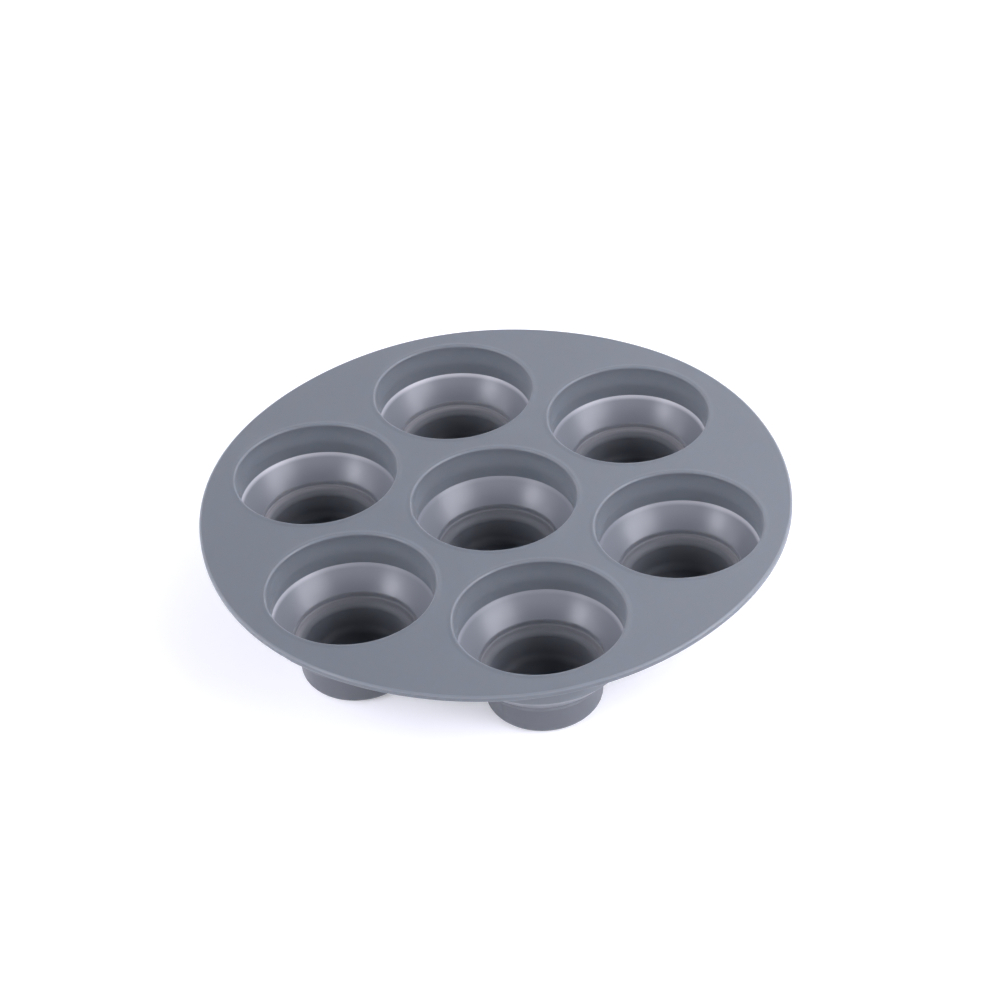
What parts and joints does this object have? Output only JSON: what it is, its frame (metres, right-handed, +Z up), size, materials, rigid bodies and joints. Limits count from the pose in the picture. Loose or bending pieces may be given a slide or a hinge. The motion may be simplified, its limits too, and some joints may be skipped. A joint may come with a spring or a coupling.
{
  "type": "collapsible silicone muffin mould",
  "caption": "Round soft baking mould: a flat deck carries stepped cups whose thin webs turn inside out, so each cup folds up into its own collar.",
  "frame": {"origin": "middle of the centre cup's flat underside, on the surface the mould stands on", "axes": "+Z up out of the cups' mouths; +X from the centre cup to the right-hand outer cup, one of the six lines of symmetry; -Y to the front"},
  "size_m": [0.206, 0.206, 0.035],
  "materials": {
    "deck": "satin moulded silicone, cool grey",
    "collar": "satin moulded silicone, cool grey",
    "web": "glossy thin silicone, slightly translucent, fine moulded grain",
    "waist": "satin moulded silicone, cool grey",
    "base": "satin moulded silicone, cool grey"
  },
  "bodies": {
    "tray": {"deck": "deck", "collar_centre": "collar", "upper_web_centre": "web", "collar_right": "collar", "upper_web_right": "web", "collar_back_right": "collar", "upper_web_back_right": "web", "collar_back_left": "collar", "upper_web_back_left": "web", "collar_left": "collar", "upper_web_left": "web", "collar_front_left": "collar", "upper_web_front_left": "web", "collar_front_right": "collar", "upper_web_front_right": "web"},
    "waist_centre": {"waist_ring_centre": "waist", "lower_web_centre": "web"},
    "well_centre": {"base_centre": "base"},
    "waist_right": {"waist_ring_right": "waist", "lower_web_right": "web"},
    "well_right": {"base_right": "base"},
    "waist_back_right": {"waist_ring_back_right": "waist", "lower_web_back_right": "web"},
    "well_back_right": {"base_back_right": "base"},
    "waist_back_left": {"waist_ring_back_left": "waist", "lower_web_back_left": "web"},
    "well_back_left": {"base_back_left": "base"},
    "waist_left": {"waist_ring_left": "waist", "lower_web_left": "web"},
    "well_left": {"base_left": "base"},
    "waist_front_left": {"waist_ring_front_left": "waist", "lower_web_front_left": "web"},
    "well_front_left": {"base_front_left": "base"},
    "waist_front_right": {"waist_ring_front_right": "waist", "lower_web_front_right": "web"},
    "well_front_right": {"base_front_right": "base"}
  },
  "joints": [
    {"name": "upper_fold_centre", "type": "slide", "parent": "tray", "child": "waist_centre", "axis": [0, 0, 1], "range_m": [0, 0.0148], "deforming": ["upper_web_centre"]},
    {"name": "lower_fold_centre", "type": "slide", "parent": "waist_centre", "child": "well_centre", "axis": [0, 0, 1], "range_m": [0, 0.0042], "deforming": ["lower_web_centre"]},
    {"name": "upper_fold_right", "type": "slide", "parent": "tray", "child": "waist_right", "axis": [0, 0, 1], "range_m": [0, 0.0148], "deforming": ["upper_web_right"]},
    {"name": "lower_fold_right", "type": "slide", "parent": "waist_right", "child": "well_right", "axis": [0, 0, 1], "range_m": [0, 0.0042], "deforming": ["lower_web_right"]},
    {"name": "upper_fold_back_right", "type": "slide", "parent": "tray", "child": "waist_back_right", "axis": [0, 0, 1], "range_m": [0, 0.0148], "deforming": ["upper_web_back_right"]},
    {"name": "lower_fold_back_right", "type": "slide", "parent": "waist_back_right", "child": "well_back_right", "axis": [0, 0, 1], "range_m": [0, 0.0042], "deforming": ["lower_web_back_right"]},
    {"name": "upper_fold_back_left", "type": "slide", "parent": "tray", "child": "waist_back_left", "axis": [0, 0, 1], "range_m": [0, 0.0148], "deforming": ["upper_web_back_left"]},
    {"name": "lower_fold_back_left", "type": "slide", "parent": "waist_back_left", "child": "well_back_left", "axis": [0, 0, 1], "range_m": [0, 0.0042], "deforming": ["lower_web_back_left"]},
    {"name": "upper_fold_left", "type": "slide", "parent": "tray", "child": "waist_left", "axis": [0, 0, 1], "range_m": [0, 0.0148], "deforming": ["upper_web_left"]},
    {"name": "lower_fold_left", "type": "slide", "parent": "waist_left", "child": "well_left", "axis": [0, 0, 1], "range_m": [0, 0.0042], "deforming": ["lower_web_left"]},
    {"name": "upper_fold_front_left", "type": "slide", "parent": "tray", "child": "waist_front_left", "axis": [0, 0, 1], "range_m": [0, 0.0148], "deforming": ["upper_web_front_left"]},
    {"name": "lower_fold_front_left", "type": "slide", "parent": "waist_front_left", "child": "well_front_left", "axis": [0, 0, 1], "range_m": [0, 0.0042], "deforming": ["lower_web_front_left"]},
    {"name": "upper_fold_front_right", "type": "slide", "parent": "tray", "child": "waist_front_right", "axis": [0, 0, 1], "range_m": [0, 0.0148], "deforming": ["upper_web_front_right"]},
    {"name": "lower_fold_front_right", "type": "slide", "parent": "waist_front_right", "child": "well_front_right", "axis": [0, 0, 1], "range_m": [0, 0.0042], "deforming": ["lower_web_front_right"]}
  ]
}
